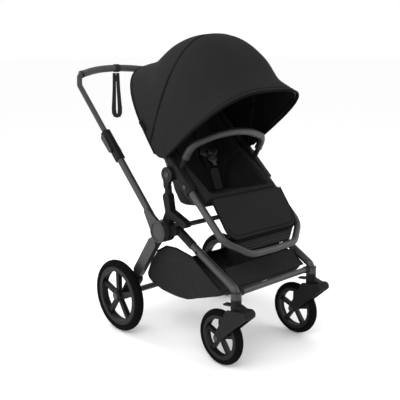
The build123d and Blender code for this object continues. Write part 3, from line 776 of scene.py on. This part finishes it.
def loop_outline(t, rise, inset):
    """A point by the seat loop: t goes 0 to 1 from the left rail over the head to the right rail."""
    start, head, bend = 0.325, 0.670 - inset, 0.170 - inset
    half = 0.203 - inset
    straight = head - bend - start
    arc = math.pi * bend / 2
    top = 2 * (half - bend)
    at = t * (2 * straight + 2 * arc + top)
    mirror = at > straight + arc + top / 2
    if mirror:
        at = 2 * straight + 2 * arc + top - at
    if at < straight:
        x, u = half, start + at
    elif at < straight + arc:
        a = (at - straight) / bend
        x, u = half - bend + bend * math.cos(a), head - bend + bend * math.sin(a)
    else:
        x, u = half - bend - (at - straight - arc), head
    return loop_point(u, rise, -x if mirror else x)


def loop_point(u, n=0.0, x=0.0):
    """A point of the seat loop's plane: u up the rails, n out of the plane."""
    c, s = math.cos(LOOP_ANGLE), math.sin(LOOP_ANGLE)
    return Vector((x, LOOP_ORIGIN[0] + u * c - n * s, LOOP_ORIGIN[1] + u * s + n * c))


def loop_u(co):
    """How far up the rails a point is."""
    return (co.y - LOOP_ORIGIN[0]) * math.cos(LOOP_ANGLE) + (co.z - LOOP_ORIGIN[1]) * math.sin(LOOP_ANGLE)


def loop_n(co):
    """How far a point is out of the seat loop's plane."""
    return -(co.y - LOOP_ORIGIN[0]) * math.sin(LOOP_ANGLE) + (co.z - LOOP_ORIGIN[1]) * math.cos(LOOP_ANGLE)


def seam_weight(distance, width):
    return max(0.0, 1 - abs(distance) / width)


class StrollerSeat(bpy.types.Operator):
    """Makes the padded bucket with its seams, the leg mat and the foot plate's ribs"""

    bl_idname = "stroller.seat"
    bl_label = "Seat"

    def mat_outline(self, inset):
        """The leg mat's outline: large corners at the foot and small ones at the knee."""
        points = []
        for cx, cy, radius, start in ((1, 0, 0.02, 0), (-1, 0, 0.02, 90), (-1, -1, 0.048, 180),
                                      (1, -1, 0.048, 270)):
            x = cx * (0.184 - radius)
            y = -radius if cy == 0 else -0.170 + radius
            for i in range(9):
                a = math.radians(start + 90 * i / 8)
                points.append((x + (radius - inset) * math.cos(a), y + (radius - inset) * math.sin(a)))
        return points

    def execute(self, context):
        s = settings()
        bucket = copy_of("seat_bucket", "seat_padding")

        def held(co):
            u, n = loop_u(co), loop_n(co)
            lines = [seam_weight(abs(co.x) - 0.088, 0.008)]
            lines += [seam_weight(u - at, 0.008) for at in (0.30, 0.42, 0.54)]
            outer = 1.0 if n > 0.035 or abs(co.x) > 0.172 else 0.0
            return max(lines + [outer])

        swell(bucket, 0.0075, s.padding, 0.007, held, shrink=0.0015)
        for vertex in bucket.data.vertices:
            co = vertex.co
            u = loop_u(co)
            groove = max(seam_weight(abs(co.x) - 0.088, 0.007), seam_weight(u - 0.30, 0.007),
                         seam_weight(u - 0.42, 0.007), seam_weight(u - 0.54, 0.007))
            vertex.co = co - vertex.normal * (0.0022 * groove) + vertex.normal * 0.0009 * ripple(co, 28, 4)
        fine = bucket.modifiers.new("fine", "SUBSURF")
        fine.levels = 1
        fine.render_levels = 1
        apply_modifiers(bucket)
        dress(bucket, "seat", "seat cloth", 80)
        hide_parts("seat_bucket")

        mat_normal = Vector((0, -0.8004, 0.5995))
        mat_place = plane_at(Vector((0, -0.295, 0.586)) + mat_normal * 0.0012, (1, 0, 0), mat_normal)
        outline = self.mat_outline(0.0)
        mat = pressed("leg_mat", outline, mat_place, 0.0105, 0.0)

        def mat_held(co):
            local = mat_place.inverted() @ co
            inner = min(0.184 - abs(local.x), local.y + 0.170)
            return seam_weight(inner - 0.012, 0.006) if local.z > 0.005 else 0.6

        swell(mat, 0.005, s.padding, 0.005, mat_held, shrink=0.0008)
        fine = mat.modifiers.new("fine", "SUBSURF")
        fine.levels = 1
        fine.render_levels = 1
        apply_modifiers(mat)
        dress(mat, "seat", "seat cloth", 80)
        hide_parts("leg_rest")
        edge = [mat_place @ Vector((x, y, 0.0060)) for x, y in self.mat_outline(-0.0006)[18:] if y < -0.006]
        edge = [mat_place @ Vector((-0.1846, -0.004, 0.0060))] + edge + [mat_place @ Vector((0.1846, -0.004,
                                                                                             0.0060))]
        inner = [mat_place @ Vector((x, y, 0.0110)) for x, y in self.mat_outline(0.014)[18:]]
        lines = [cord_line("mat_edge", edge, 0.0024), cord_line("mat_stitch", inner, 0.0009)]
        dress(joined("leg_mat_piping", lines), "seat", "binding and painted seam shade")

        ribs = []
        for k in range(5):
            u = -0.070 - k * 0.011
            half = 0.180 - k * 0.017
            ribs.append(pressed(f"rib_{k}", rounded(2 * half, 0.005, 0.002),
                                plane_at(loop_point(u, 0.0002), (1, 0, 0),
                                         (0, -math.sin(LOOP_ANGLE), math.cos(LOOP_ANGLE))),
                                0.0024, 0.0008))
        dress(joined("foot_plate_ribs", ribs), "seat", "frame moulding")
        return {"FINISHED"}


class StrollerHarness(bpy.types.Operator):
    """Makes the shoulder and lap straps, the shoulder and crotch pads and the buckle's trim"""

    bl_idname = "stroller.harness"
    bl_label = "Harness"

    def execute(self, context):
        pads = []
        back_normal = Vector((0, -0.91, 0.414)).normalized()
        for label, s in SIDES:
            place = plane_at((s * 0.058, 0.0155 + 0.0045, 0.731 + 0.009), (1, 0, 0), back_normal)
            pad = pressed(f"shoulder_pad_{label}", rounded(0.042, 0.176, 0.012), place, 0.0085, 0.0032, 4)
            dress(pad, "seat", "seat cloth", 60)
            pads.append(pad)
            up = back_normal.cross(Vector((1, 0, 0))) * -1
            start = Vector((s * 0.058, 0.02, 0.74)) + back_normal * 0.0045
            strap = webbing(f"shoulder_strap_{label}", [start + up * t for t in (-0.118, -0.09, 0.0, 0.09,
                                                                                 0.112)],
                            (1, 0, 0), 0.025, 0.0022)
            dress(strap, "seat", "strap webbing")
            lap = webbing(f"lap_strap_{label}",
                          [(s * 0.090, -0.100, 0.5632), (s * 0.070, -0.112, 0.5665),
                           (s * 0.046, -0.124, 0.571)],
                          (0, 1, 0.1), 0.025, 0.0022)
            dress(lap, "seat", "strap webbing")
        crotch_normal = Vector((0, -0.93, 0.37)).normalized()
        crotch = pressed("crotch_pad", rounded(0.044, 0.086, 0.010),
                         plane_at((0, -0.133, 0.616), (1, 0, 0), crotch_normal), 0.0085, 0.0030, 4)
        dress(crotch, "seat", "seat cloth", 60)
        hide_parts("harness_straps")
        buckle_normal = Vector((0, -0.83, 0.56)).normalized()
        centre = Vector((0, -0.105, 0.694)) + buckle_normal * 0.011
        trim = [ring_band("buckle_ring", 0.0165, 0.0009, centre + buckle_normal * 0.0001, buckle_normal),
                ring_band("buckle_rim", 0.0218, 0.0010, centre - buckle_normal * 0.0004, buckle_normal)]
        side_way = Vector((1, 0, 0))
        up = buckle_normal.cross(side_way)
        for label, s in SIDES:
            out = (side_way * s * 0.78 + up * -0.62 * (1 if up.z < 0 else -1)).normalized()
            place = plane_at(centre - buckle_normal * 0.0105 + out * 0.033, out, buckle_normal)
            trim.append(pressed(f"buckle_arm_{label}", [(-0.016, -0.009), (0.018, -0.0125), (0.022, -0.008),
                                                        (0.022, 0.008), (0.018, 0.0125), (-0.016, 0.009)],
                                place, 0.0075, 0.0018, 3))
        dress(joined("buckle_trim", trim), "seat", "satin moulding")
        return {"FINISHED"}


# ---------------------------------------------------------------- basket


REAR_CUT = 0.262
BASKET_SIDE = ((-404, 284), (-373, 254), (-273, 216), (-200, 191), (-142, 184), (-80, 186), (-14, 196),
               (28, 214),
               (44, 238), (12, 300), (-38, 361), (-94, 396), (-150, 400), (-236, 386))


class StrollerBasket(bpy.types.Operator):
    """Makes the hanging basket with its front flap and bound edges"""

    bl_idname = "stroller.basket"
    bl_label = "Basket"

    def execute(self, context):
        outline = [(y / 1000 - 0.006, z / 1000) for y, z in BASKET_SIDE]
        body = pressed("basket_bag", outline, plane_at((-0.2225, 0, 0), (0, 1, 0), (1, 0, 0)), 0.445, 0.0)
        remesh = body.modifiers.new("remesh", "REMESH")
        remesh.mode = "VOXEL"
        remesh.voxel_size = 0.008
        relax = body.modifiers.new("relax", "SMOOTH")
        relax.factor = 0.5
        relax.iterations = 22
        apply_modifiers(body)
        for vertex in body.data.vertices:
            co = vertex.co
            low = max(0.0, min(1.0, (0.30 - co.z) / 0.1))
            wall = 1 - low
            sag = ripple(co, 9, 2) * 0.005 + ripple(co, 23, 6) * 0.0018
            vertex.co = co + vertex.normal * (sag * (0.5 + 0.5 * wall) - 0.0010)

        def top_z(y):
            knots = ((-0.420, 0.280), (-0.410, 0.284), (-0.242, 0.384), (-0.156, 0.397), (-0.100, 0.393),
                     (-0.044, 0.361),
                     (0.1, 0.361))
            for (y0, z0), (y1, z1) in zip(knots, knots[1:]):
                if y0 <= y <= y1:
                    return z0 + (z1 - z0) * (y - y0) / (y1 - y0)
            return 0.361

        take(body)
        bpy.ops.object.mode_set(mode="EDIT")
        bpy.ops.mesh.select_mode(type="FACE")
        bpy.ops.mesh.select_all(action="DESELECT")
        bpy.ops.object.mode_set(mode="OBJECT")
        for face in body.data.polygons:
            c = face.center
            lid = c.z > top_z(c.y) - 0.012 and face.normal.z > 0.35 or c.z > top_z(c.y) - 0.009
            rear = c.z > REAR_CUT and c.y > -0.088 and abs(c.x) < 0.212 and abs(face.normal.x) < 0.7
            face.select = (lid and c.y < -0.04) or rear
        bpy.ops.object.mode_set(mode="EDIT")
        bpy.ops.mesh.delete(type="FACE")
        bpy.ops.object.mode_set(mode="OBJECT")
        counts = {}
        for face in body.data.polygons:
            for key in face.edge_keys:
                counts[key] = counts.get(key, 0) + 1
        rim = {index for key, count in counts.items() if count == 1 for index in key}
        for index in rim:
            co = body.data.vertices[index].co
            if co.y < -0.04 and abs(co.z - top_z(co.y)) < 0.03:
                co.z = top_z(co.y) - 0.0105
            elif abs(co.z - REAR_CUT) < 0.012 and abs(co.x) < 0.205:
                co.z = REAR_CUT
            elif co.z > REAR_CUT and abs(abs(co.x) - 0.212) < 0.012:
                co.x = math.copysign(0.212, co.x)
        flat = area_of(body)
        thicken(body, 0.0018, -1.0)
        dress(body, "chassis", "basket cloth", 70)
        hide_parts("basket")

        def flap_place(u, v):
            points = ((-0.431, 0.298), (-0.400, 0.320), (-0.371, 0.350))
            t = v * 2
            i = min(int(t), 1)
            y = points[i][0] + (points[i + 1][0] - points[i][0]) * (t - i)
            z = points[i][1] + (points[i + 1][1] - points[i][1]) * (t - i)
            sag = math.sin(math.pi * u) * math.sin(math.pi * v) * 0.005
            return Vector(((u - 0.5) * 0.376, y + sag * 0.6 + ripple((u, v, 0), 6, 9) * 0.0015,
                           z - sag * 0.8))

        flap = grid("basket_flap", 48, 12, flap_place)
        size = area_of(flap)
        thicken(flap, 0.0018, 0.0)
        dress(flap, "chassis", "basket cloth", 70)
        edges = []
        for label, s in SIDES:
            stations = [-0.39 + i * 0.0145 for i in range(25)]
            side = [Vector((s * 0.2235, y, top_z(y) - 0.010)) for y in stations]
            edges.append(cord_line(f"basket_edge_{label}", side, 0.0026))
            edges.append(cord_line(f"flap_edge_{label}", [Vector((s * 0.187, -0.430, 0.2985)),
                                                          Vector((s * 0.187, -0.400, 0.321)),
                                                          Vector((s * 0.187, -0.372, 0.350))], 0.0020))
        dress(joined("basket_binding", edges), "chassis", "binding and painted seam shade")
        return {"FINISHED"}


# ---------------------------------------------------------------- wheels and frame trim


class StrollerWheels(bpy.types.Operator):
    """Makes the raised ribs of the spokes and the hub and rim beads"""

    bl_idname = "stroller.wheels"
    bl_label = "Wheels"

    def execute(self, context):
        for end, axle, mid, rim, hub_r, hub_half, wide in (("rear", REAR_AXLE, 0.294, 0.099, 0.022, 0.019,
                                                            0.019),
                                                           ("front", FRONT_AXLE, 0.2075, 0.067, 0.016, 0.015,
                                                            0.0135)):
            for label, s in SIDES:
                parts = []
                for face in (1, -1):
                    x = s * mid + face * 0.0069
                    for turn in range(5):
                        a = math.radians(90 + turn * 72)
                        out = Vector((0, math.cos(a), math.sin(a)))
                        for shift in (-1, 1):
                            slope = shift * 0.02
                            middle = Vector((x, *axle)) + out * ((rim + hub_r) / 2)
                            middle += Vector((face, 0, 0)).cross(out) * shift * wide * 0.36
                            way = (out + Vector((face, 0, 0)).cross(out) * slope).normalized()
                            parts.append(pressed(f"spoke_rib_{face}_{turn}_{shift}",
                                                 rounded(rim - hub_r - 0.002, 0.0030, 0.0014, 3),
                                                 plane_at(middle, way, (face, 0, 0)), 0.0022, 0.0007, 2))
                    centre = Vector((s * mid + face * hub_half, *axle))
                    if face == s:
                        parts.append(ring_band("hub_bead", hub_r - 0.0042, 0.0010, centre, (face, 0, 0), 40))
                    seat = Vector((s * mid + face * (0.0105 if end == "rear" else 0.0085), *axle))
                    parts.append(ring_band("rim_bead", rim + 0.0085, 0.0012, seat, (face, 0, 0), 72))
                piece = joined(f"{end}_{label}_wheel_ribs", parts)
                body = f"rear_wheel_{label}" if end == "rear" else f"front_wheel_{label}"
                dress(piece, body, "wheel moulding")
        return {"FINISHED"}


class StrollerFrameTrim(bpy.types.Operator):
    """Makes the frame's rivets, collars, seams and ringed caps"""

    bl_idname = "stroller.frame_trim"
    bl_label = "Frame trim"

    def execute(self, context):
        for label, s in SIDES:
            caps = [ring_band("hub_step", 0.0372, 0.0012, (s * 0.2680, *HUB), (s, 0, 0), 64),
                    ring_band("hub_inner", 0.0290, 0.0008, (s * 0.2665, *HUB), (s, 0, 0), 64)]
            dress(joined(f"hub_beads_{label}", caps), "handle", "satin moulding")
            edge = ring_band(f"hub_joint_{label}", 0.0414, 0.0011, (s * 0.2425, *HUB), (s, 0, 0), 64)
            dress(edge, "chassis", "frame moulding")
            leg_way = Vector((0, REAR_AXLE[0] - HUB[0], REAR_AXLE[1] - HUB[1])).normalized()
            rivet_at = Vector((s * 0.2690, *HUB)) + leg_way * 0.292
            dome = [(0.0068, 0.0), (0.0068, 0.0008), (0.0060, 0.0020), (0.0042, 0.0028), (0.0018, 0.0031),
                    (0.0003, 0.0032)]
            rivets = [turned("mount_rivet", dome, rivet_at, (s, 0, 0), 28)]
            dress(joined(f"mount_rivet_{label}", rivets), "rear_legs", "satin moulding")
            parts = [turned("leg_rivet", dome, (s * 0.2262, -0.268, 0.394), (s, 0, 0), 28)]
            way = Vector((0, -0.2155, -0.114)).normalized()
            seam_at = Vector((s * 0.212, -0.238, 0.411))
            parts.append(ring_band("leg_seam", 0.0150, 0.0010, seam_at, way, 40))
            parts.append(ring_band("collar_top", 0.0190, 0.0009, (s * STEM[0], STEM[1], 0.2905), (0, 0, 1),
                                   40))
            parts.append(ring_band("collar_low", 0.0190, 0.0009, (s * STEM[0], STEM[1], 0.2655), (0, 0, 1),
                                   40))
            dress(joined(f"leg_trim_{label}", parts), "chassis", "frame moulding")
            sleeve = turned(f"bar_sleeve_{label}", [(0.0112, 0), (0.0128, 0.0006), (0.0128, 0.020),
                                                    (0.0120, 0.022), (0.0112, 0.022)],
                            (s * 0.171, -0.448, 0.283), (s, 0, 0), 36)
            dress(sleeve, "chassis", "frame moulding")
            fins = [ring_band(f"fin_{k}", 0.0168, 0.0009, (s * STEM[0] + k * 0.0052, *BARREL), (1, 0, 0), 40)
                    for k in (-3, -2, -1, 0, 1, 2, 3)]
            dress(joined(f"barrel_fins_{label}", fins), f"caster_{label}", "frame moulding")
            ends = [turned("cheek_cap", [(0.0092, 0), (0.0092, 0.0010), (0.0076, 0.0022), (0.0005, 0.0024)],
                           (s * STEM[0] + k * 0.0268, *FRONT_AXLE), (k, 0, 0), 32) for k in (1, -1)]
            dress(joined(f"cheek_caps_{label}", ends), f"fork_{label}", "satin moulding")
            pivot = [ring_band(f"disc_ring_{k}", r, 0.0011, (s * 0.2360, *RECLINE), (s, 0, 0), 64)
                     for k, r in enumerate((0.0262, 0.0175))]
            pivot.append(turned("disc_cap", [(0.0120, 0), (0.0120, 0.0012), (0.0105, 0.0024),
                                             (0.0005, 0.0026)],
                                (s * 0.2358, *RECLINE), (s, 0, 0), 40))
            dress(joined(f"pivot_rings_{label}", pivot), "seat_carrier", "satin moulding")
            button = loop_point(0.180)
            rings = [ring_band("button_ring", 0.0118, 0.0010, (s * 0.2206, button.y, button.z), (s, 0, 0),
                               40)]
            for u in (0.158, 0.338):
                rail = loop_point(u, 0, s * 0.203)
                outline = rounded(0.0358, 0.0368, 0.0122, 5)
                line = [plane_at(rail, (1, 0, 0), (0, math.cos(LOOP_ANGLE),
                                                   math.sin(LOOP_ANGLE))) @ Vector((x, y, 0))
                        for x, y in outline]
                rings.append(cord_line(f"housing_seam_{u}", line, 0.0008, closed=True))
            dress(joined(f"housing_trim_{label}", rings), "seat", "frame moulding")
        return {"FINISHED"}


class StrollerHandleTrim(bpy.types.Operator):
    """Makes the wrist strap, the grip's stitching and the bumper bar's rings"""

    bl_idname = "stroller.handle_trim"
    bl_label = "Handle and bumper trim"

    def execute(self, context):
        side = [(0.0150, 0.0), (0.0158, -0.030), (0.0172, -0.070), (0.0205, -0.120), (0.0235, -0.155),
                (0.0228, -0.180),
                (0.0150, -0.195)]
        slit = [(0.0022, -0.176), (0.0034, -0.160), (0.0028, -0.120), (0.0014, -0.080), (0.0008, -0.050)]
        outer = side + [(0.0, -0.199)] + [(-x, z) for x, z in reversed(side)]
        inner = [(-x, z) for x, z in reversed(slit)] + [(0.0, -0.182)] + slit
        strap = pressed("wrist_webbing", outer + [(-0.0006, 0.0)] + inner + [(0.0006, 0.0)],
                        plane_at((0, 0.5075, 1.008), STRAP_ACROSS, STRAP_FACE), 0.0034, 0.0006, 1)
        collar = turned("strap_collar", [(0.0153, 0), (0.0172, 0.0004), (0.0176, 0.0010), (0.0176, 0.024),
                                         (0.0172, 0.0246),
                                         (0.0153, 0.025)], (-0.0125, 0.5040, 1.0290), (1, 0, 0), 40)
        keeper = pressed("strap_keeper", rounded(0.030, 0.026, 0.003),
                         plane_at((0.0048, 0.5125, 0.985), STRAP_ACROSS, STRAP_FACE),
                         0.0130, 0.0015)
        piece = joined("wrist_loop", [strap, collar, keeper])
        dress(piece, "handle_top", "strap webbing")
        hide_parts("wrist_strap")

        stitch = []
        count = 74
        for i in range(count):
            t = (i + 0.5) / count
            x = -0.215 + 0.43 * t
            yy = 0.5075 - 0.0698 * (abs(x) / 0.222) ** 1.9
            zz = 1.0303 - 0.0218 * (abs(x) / 0.222) ** 1.9
            if abs(x) > 0.016:
                lean = 0.0012 if i % 2 else -0.0012
                side_y, low = yy - 0.0105, zz - 0.0106
                ends = [(x - 0.0016, side_y + lean, low), (x + 0.0016, side_y - lean, low)]
                stitch.append(cord_line(f"stitch_{i}", ends, 0.0005, resolution=1))
        dress(joined("grip_stitching", stitch), "handle_top", "stitching")
        for label, s in SIDES:
            way = Vector((s * 0.225, -0.11, -0.035)).normalized()
            band = ring_band(f"grip_end_{label}", 0.0148, 0.0014, (s * 0.2262, 0.4364, 1.0080), way, 40)
            dress(band, "handle_top", "satin moulding")
            rings = []
            for k, t in enumerate((0.10, 0.62)):
                p = Vector((s * 0.194, -0.177, 0.723)).lerp(Vector((s * 0.1915, -0.198, 0.761)), t)
                rings.append(ring_band(f"bar_ring_{k}", 0.0146, 0.0010, p, (s * 0.02, -0.49, 0.872), 40))
            dress(joined(f"bumper_rings_{label}", rings), "bumper", "satin moulding")
        return {"FINISHED"}


class StrollerStage(bpy.types.Operator):
    """Makes the floor, the studio light and the camera"""

    bl_idname = "stroller.stage"
    bl_label = "Stage"

    def execute(self, context):
        s = settings()
        clear_selection()
        bpy.ops.mesh.primitive_plane_add(size=240, location=(0, 0, -0.0005))
        floor = named("floor")
        settle(floor)
        made = bpy.data.materials.new("studio floor")
        made.use_nodes = True
        shader = made.node_tree.nodes["Principled BSDF"]
        shader.inputs["Base Color"].default_value = (0.98, 0.98, 0.98, 1)
        shader.inputs["Roughness"].default_value = 0.7
        floor.data.materials.append(made)
        world = bpy.data.worlds.new("studio")
        context.scene.world = world
        world.use_nodes = True
        world.node_tree.nodes["Background"].inputs[0].default_value = (1, 1, 1, 1)
        world.node_tree.nodes["Background"].inputs[1].default_value = 1.0
        for name, place, power, size in (("key", (-2.4, -2.0, 3.2), s.key_power, 2.2),
                                         ("fill", (2.6, -2.2, 1.8), 30, 2.4),
                                         ("rim", (-0.6, 2.8, 2.6), 42, 2.0), ("side", (-3.4, 0.4, 1.2), 36,
                                                                              2.0)):
            data = bpy.data.lights.new(name, "AREA")
            data.energy = power
            data.size = size
            lamp = bpy.data.objects.new(name, data)
            context.scene.collection.objects.link(lamp)
            lamp.location = place
            way = Vector((0, 0, 0.55)) - Vector(place)
            lamp.rotation_euler = way.to_track_quat("-Z", "Y").to_euler()
        data = bpy.data.cameras.new("camera")
        data.lens = s.lens
        data.sensor_width = 36.0
        camera = bpy.data.objects.new("camera", data)
        context.scene.collection.objects.link(camera)
        camera.location = (-1.7565, -1.9473, 1.0976)
        way = Vector((0, -0.0447, 0.518)) - camera.location
        camera.rotation_euler = way.to_track_quat("-Z", "Y").to_euler()
        context.scene.camera = camera
        context.scene.view_settings.view_transform = "Standard"
        return {"FINISHED"}


class StrollerSettings(bpy.types.PropertyGroup):
    cloth_colour: FloatVectorProperty(name="Cloth colour",
                                      description="Colour of the canopy; the other cloth is darker",
                                      subtype="COLOR", size=3, default=(0.0105, 0.0105, 0.0108), min=0, max=1)
    tube_colour: FloatVectorProperty(name="Tube colour", description="Colour of the anodised tubes",
                                     subtype="COLOR", size=3, default=(0.036, 0.036, 0.038), min=0, max=1)
    plastic_colour: FloatVectorProperty(name="Moulding colour", description="Colour of the moulded parts",
                                        subtype="COLOR", size=3, default=(0.0062, 0.0062,
                                                                          0.0066), min=0, max=1)
    padding: FloatProperty(name="Padding", description="Pressure that fills the pads", default=4.0, min=0,
                           max=10)
    key_power: FloatProperty(name="Key light", description="Power of the main light", unit="POWER",
                             default=52.0, min=0)
    lens: FloatProperty(name="Lens", description="Focal length of the camera", unit="CAMERA", default=59.38,
                        min=10)


STEPS = (StrollerFinishes, StrollerCanopy, StrollerSeat, StrollerHarness, StrollerBasket, StrollerWheels,
         StrollerFrameTrim, StrollerHandleTrim, StrollerStage)


class StrollerPanel(bpy.types.Panel):
    bl_idname = "VIEW3D_PT_stroller"
    bl_label = "Stroller"
    bl_space_type = "VIEW_3D"
    bl_region_type = "UI"
    bl_category = "Stroller"

    def draw(self, context):
        for name in StrollerSettings.__annotations__:
            self.layout.prop(context.scene.stroller, name)
        for step in STEPS:
            self.layout.operator(step.bl_idname)


def register():
    for cls in (StrollerSettings, *STEPS, StrollerPanel):
        bpy.utils.register_class(cls)
    bpy.types.Scene.stroller = PointerProperty(type=StrollerSettings)


def unregister():
    del bpy.types.Scene.stroller
    for cls in reversed((StrollerSettings, *STEPS, StrollerPanel)):
        bpy.utils.unregister_class(cls)


def main():
    register()
    for step in STEPS:
        area, call = step.bl_idname.split(".")
        getattr(getattr(bpy.ops, area), call)()


if __name__ == "__main__":
    main()
